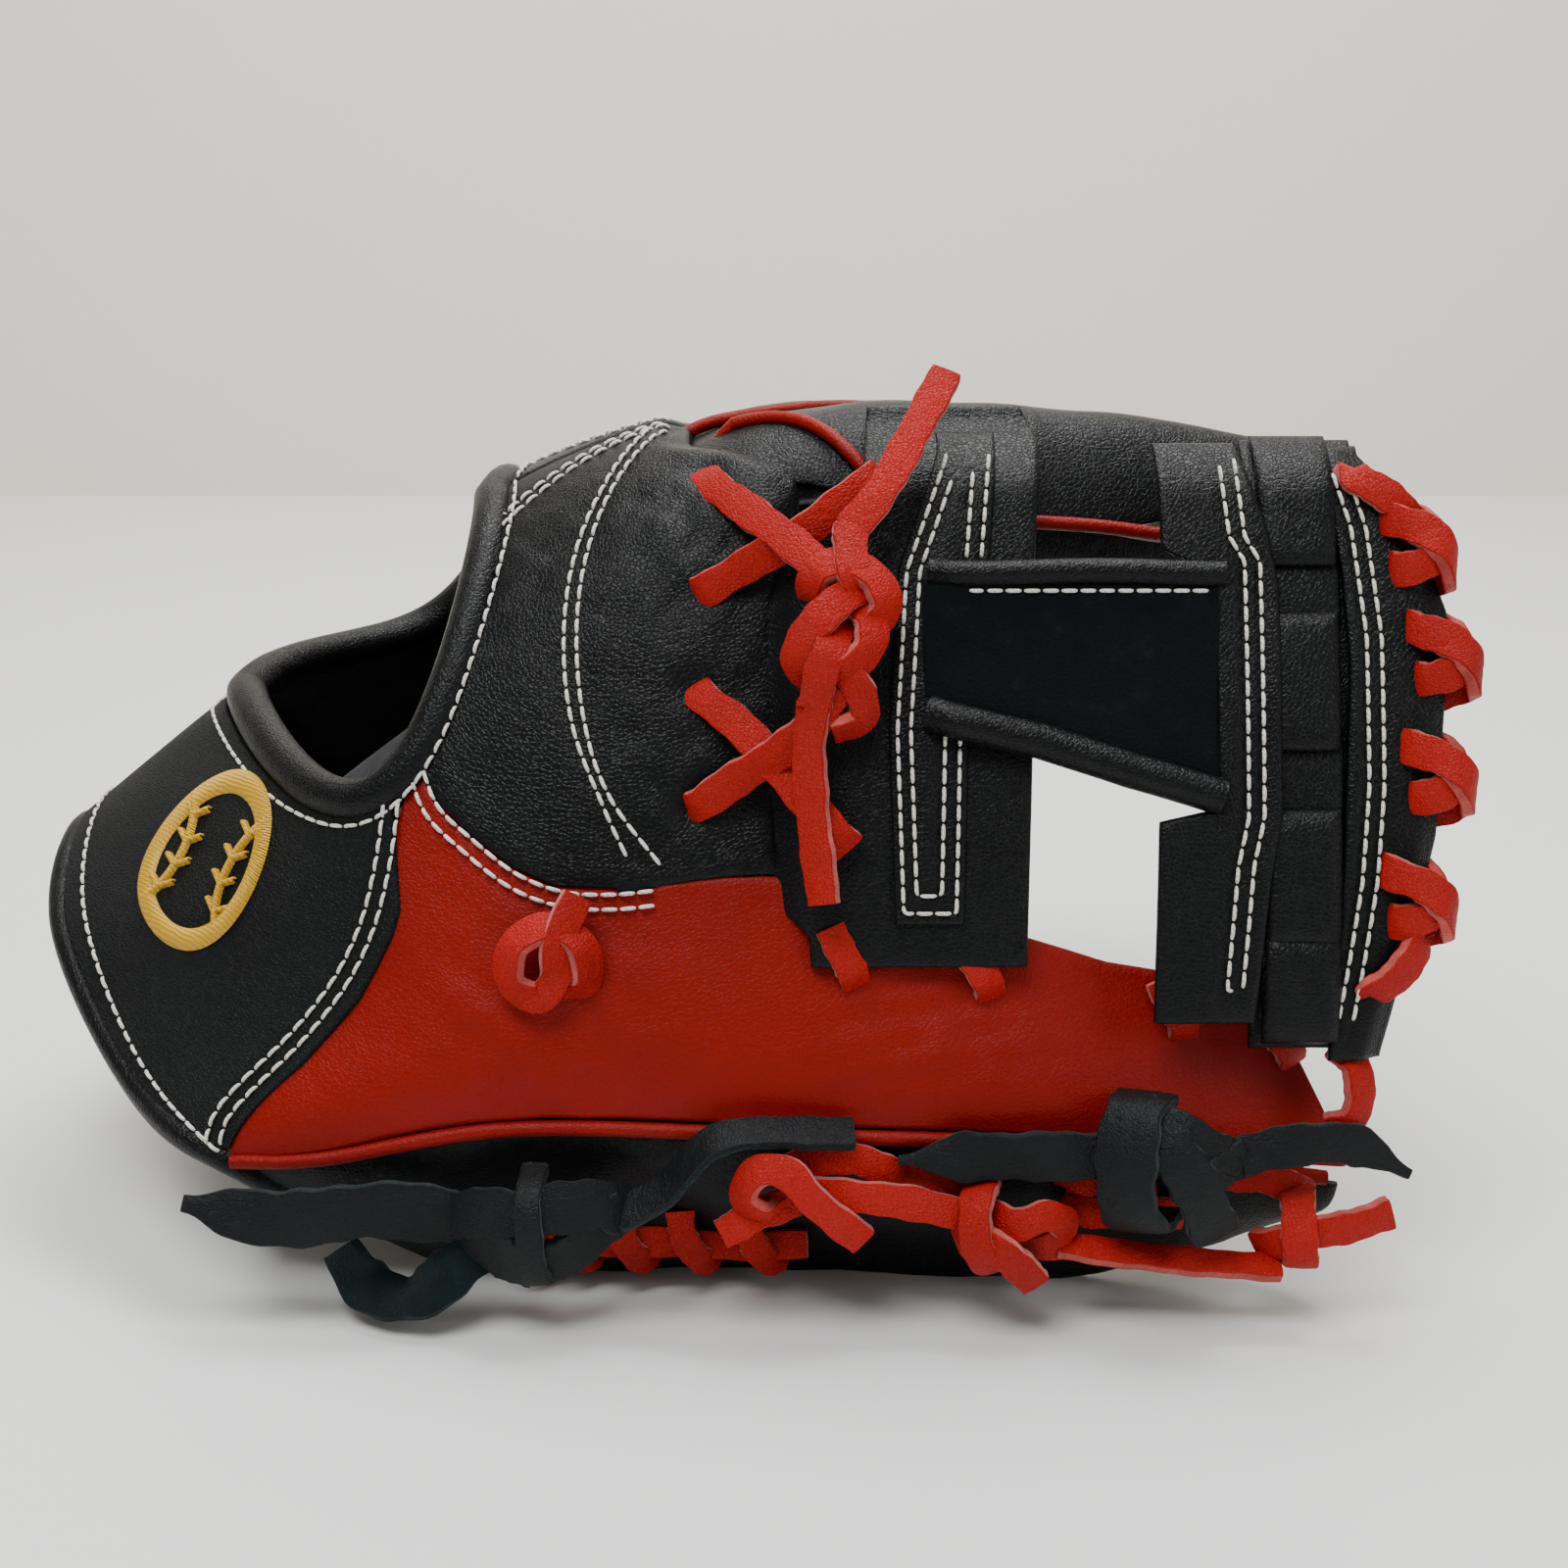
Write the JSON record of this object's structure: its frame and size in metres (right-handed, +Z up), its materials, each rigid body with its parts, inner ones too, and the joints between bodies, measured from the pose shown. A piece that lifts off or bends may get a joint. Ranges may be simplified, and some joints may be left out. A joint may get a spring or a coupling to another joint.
{
  "type": "baseball glove",
  "caption": "Infielder's baseball glove of black and red leather with a suede-barred, woven web, red lacing and black thongs, standing palm down on its edges.",
  "frame": {"origin": "centre of the bounding box at floor height, without the free lace tails", "axes": "+X runs from the wrist to the fingertips, +Y from the thumb side to the little-finger side, +Z up from the floor that the glove stands on"},
  "size_m": [0.31, 0.2012, 0.1898],
  "materials": {
    "black_leather": "semi-gloss grained",
    "red_leather": "satin grained",
    "suede": "matt napped",
    "red_lace": "satin rawhide",
    "black_lace": "satin",
    "thread": "satin stitch",
    "fleece": "matt",
    "felt": "matt"
  },
  "bodies": {
    "hand": {"back_leather_thumb_side": "black_leather", "back_leather_little_side": "black_leather", "thumb_base_leather": "red_leather", "heel_underside": "black_leather", "little_heel_leather": "red_leather", "wrist_patch": "suede", "wrist_lining": "fleece", "palm_leather": "black_leather", "palm_felt": "felt", "palm_lining": "fleece", "little_heel_pad": "felt", "wrist_binding": "black_leather", "hand_opening_binding": "black_leather", "emblem": "thread", "index_back": "black_leather", "index_front": "black_leather", "index_welt": "red_lace", "middle_back": "black_leather", "middle_front": "black_leather", "middle_welt": "black_leather", "ring_back": "black_leather", "ring_front": "black_leather", "ring_welt": "black_leather", "web_left_panel": "black_leather", "web_left_strip": "black_leather", "web_crossbar": "suede", "crossbar_lower_piping": "black_leather", "crossbar_upper_piping": "black_leather", "web_right_strip": "black_leather", "web_weave_core": "black_leather", "web_weave_front": "black_leather", "web_top_band": "black_leather", "web_edge_lace": "red_lace", "crotch_lace_outer": "red_lace", "crotch_lace_inner": "red_lace", "crotch_knot": "red_lace", "crotch_tail_up": "red_lace", "crotch_tail_down": "red_lace", "thumb_base_knot": "red_lace", "wrist_thong": "black_lace"},
    "thumb": {"thumb_back": "red_leather", "thumb_underside": "black_leather", "thumb_front": "black_leather", "thumb_welt": "black_leather", "thumb_bow": "black_lace", "thumb_tip_knot": "red_lace", "welt_knot_1": "red_lace", "welt_knot_2": "red_lace", "wrist_thong_knot": "black_lace", "heel_lace": "red_lace", "thumb_bow_tail_left": "black_lace", "thumb_bow_tail_right": "black_lace", "welt_tail": "red_lace", "wrist_thong_tail_left": "black_lace", "wrist_thong_tail_right": "black_lace"},
    "little_finger": {"little_back": "black_leather", "little_front": "black_leather", "little_welt": "black_leather"}
  },
  "joints": [
    {"name": "thumb_fold", "type": "hinge", "parent": "hand", "child": "thumb", "pos_m": [-0.0224, -0.0716, 0.048], "axis": [0.6549, 0, 0.7557], "range_deg": [0, 20]},
    {"name": "little_fold", "type": "hinge", "parent": "hand", "child": "little_finger", "pos_m": [0.0666, 0.0724, 0.1225], "axis": [-0.9977, 0, 0.0672], "range_deg": [0, 18]}
  ]
}
